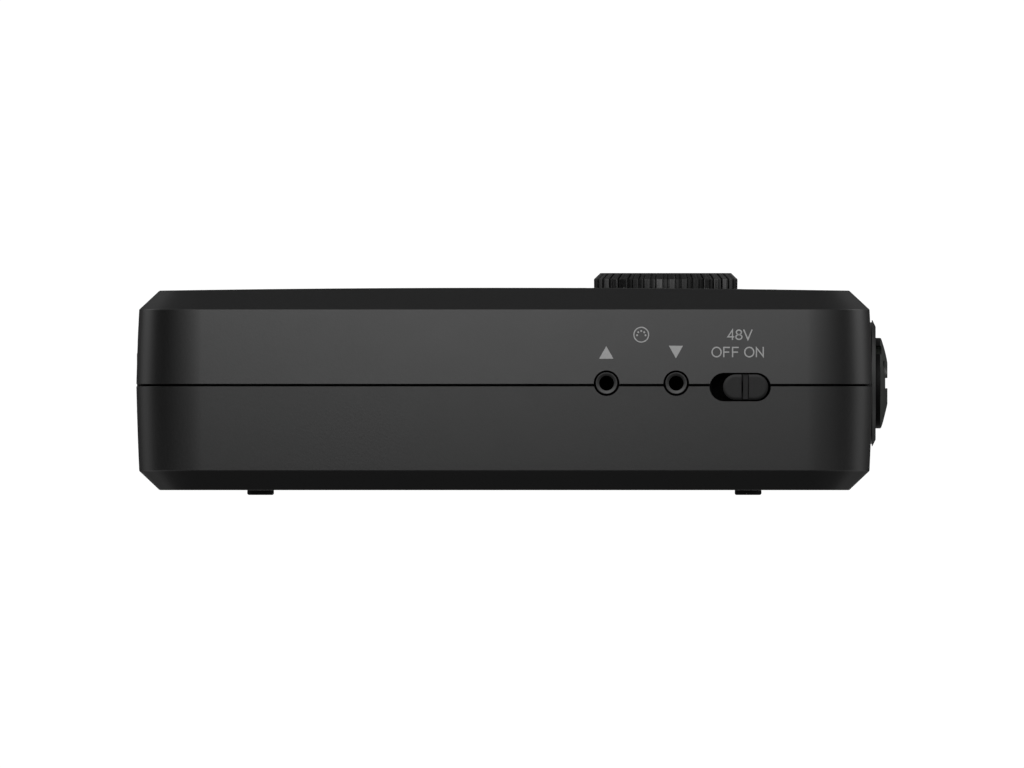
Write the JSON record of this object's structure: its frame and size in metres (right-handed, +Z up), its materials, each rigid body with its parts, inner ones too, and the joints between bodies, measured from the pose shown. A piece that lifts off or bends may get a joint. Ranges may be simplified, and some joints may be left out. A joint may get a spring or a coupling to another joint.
{
  "type": "audio interface",
  "caption": "Portable battery-powered audio interface: low chamfered box with recording inputs on one end, ribbed gain knobs on top and small switches, sockets and dials round its sides.",
  "frame": {"origin": "middle of the whole object's outer box, at the bottom of its feet", "axes": "+X towards the end with the two combined inputs, -Y towards the side with the data sockets and phantom power switch, +Z up"},
  "size_m": [0.1326, 0.0814, 0.0392],
  "materials": {
    "case_plastic": "fine texture",
    "black_plastic": "satin",
    "insert_plastic": "satin",
    "foot_rubber": "matte",
    "tinned_steel": "satin",
    "nickel_spring": "bright",
    "board_green": "solder mask",
    "lamp_guide": "frosted"
  },
  "bodies": {
    "case": {"top_shell": "case_plastic", "bottom_shell": "case_plastic", "battery_tray": "black_plastic", "combo_housing_1": "black_plastic", "combo_housing_2": "black_plastic", "line_jack_left": "black_plastic", "line_jack_right": "black_plastic", "phones_jack": "black_plastic", "midi_out_jack": "black_plastic", "midi_in_jack": "black_plastic", "power_jack": "black_plastic", "usb_tongue": "black_plastic", "processor_chip": "black_plastic", "converter_chip": "black_plastic", "supply_inductor": "black_plastic", "board_header": "black_plastic", "combo_insert_1": "insert_plastic", "combo_insert_2": "insert_plastic", "foot_front_left": "foot_rubber", "foot_front_right": "foot_rubber", "foot_back_left": "foot_rubber", "foot_back_right": "foot_rubber", "case_screw_1": "tinned_steel", "case_screw_2": "tinned_steel", "case_screw_3": "tinned_steel", "case_screw_4": "tinned_steel", "board_screw_1": "tinned_steel", "board_screw_2": "tinned_steel", "preamp_shield": "tinned_steel", "capacitor_1": "tinned_steel", "capacitor_2": "tinned_steel", "phantom_switch_body": "tinned_steel", "monitor_switch_body": "tinned_steel", "output_wheel_control": "tinned_steel", "phones_wheel_control": "tinned_steel", "power_pin": "tinned_steel", "usb_shell": "tinned_steel", "gain_pot_1": "tinned_steel", "gain_pot_2": "tinned_steel", "battery_spring_1": "nickel_spring", "battery_spring_2": "nickel_spring", "battery_plate_1": "nickel_spring", "battery_plate_2": "nickel_spring", "main_board": "board_green", "input_board": "board_green", "signal_lamp_1": "lamp_guide", "signal_lamp_2": "lamp_guide", "phantom_lamp": "lamp_guide", "power_lamp": "lamp_guide", "host_lamp": "lamp_guide", "data_lamp": "lamp_guide"},
    "gain_1": {"gain_knob_1": "black_plastic", "gain_shaft_1": "tinned_steel"},
    "gain_2": {"gain_knob_2": "black_plastic", "gain_shaft_2": "tinned_steel"},
    "phantom_slide": {"phantom_slider": "black_plastic"},
    "monitor_slide": {"monitor_slider": "black_plastic"},
    "output_dial": {"output_wheel": "black_plastic"},
    "phones_dial": {"phones_wheel": "black_plastic"},
    "door": {"battery_door": "case_plastic"}
  },
  "joints": [
    {"name": "gain_1_turn", "type": "hinge", "parent": "case", "child": "gain_1", "pos_m": [0.02715, -0.01715, 0.037], "axis": [0, 0, 1], "range_deg": [-150, 150]},
    {"name": "gain_2_turn", "type": "hinge", "parent": "case", "child": "gain_2", "pos_m": [0.02715, 0.01585, 0.037], "axis": [0, 0, 1], "range_deg": [-150, 150]},
    {"name": "phantom_switch", "type": "slide", "parent": "case", "child": "phantom_slide", "axis": [1, 0, 0], "range_m": [-0.0019, 0]},
    {"name": "monitor_switch", "type": "slide", "parent": "case", "child": "monitor_slide", "axis": [1, 0, 0], "range_m": [-0.0019, 0]},
    {"name": "output_turn", "type": "hinge", "parent": "case", "child": "output_dial", "pos_m": [-0.04335, 0.03265, 0.02], "axis": [0, 0, 1], "range_deg": [-135, 135]},
    {"name": "phones_turn", "type": "hinge", "parent": "case", "child": "phones_dial", "pos_m": [-0.02135, 0.03265, 0.02], "axis": [0, 0, 1], "range_deg": [-135, 135]},
    {"name": "door_slide", "type": "slide", "parent": "case", "child": "door", "axis": [0, 1, 0], "range_m": [0, 0.038]}
  ]
}
